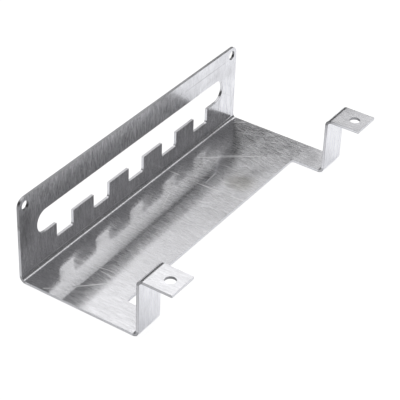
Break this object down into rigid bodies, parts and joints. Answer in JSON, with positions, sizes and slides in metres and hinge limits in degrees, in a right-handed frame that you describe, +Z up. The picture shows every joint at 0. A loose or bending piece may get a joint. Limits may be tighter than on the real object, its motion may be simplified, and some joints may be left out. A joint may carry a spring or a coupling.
{
  "type": "indexing plate",
  "caption": "Folded steel plate: a wall with a notched indexing slot, a flat base, and arms that rise at its ends and turn outward as drilled tabs.",
  "frame": {"origin": "middle of the underside of the overall box", "axes": "+X along the wall, +Y out through the wall's back, -Y towards the tabs, +Z up from the base"},
  "size_m": [0.2, 0.096, 0.0515],
  "materials": {
    "sheet": "bright fine brushed sheet with light handling scratches"
  },
  "bodies": {
    "root": {"indexing_plate": "sheet"}
  },
  "joints": []
}
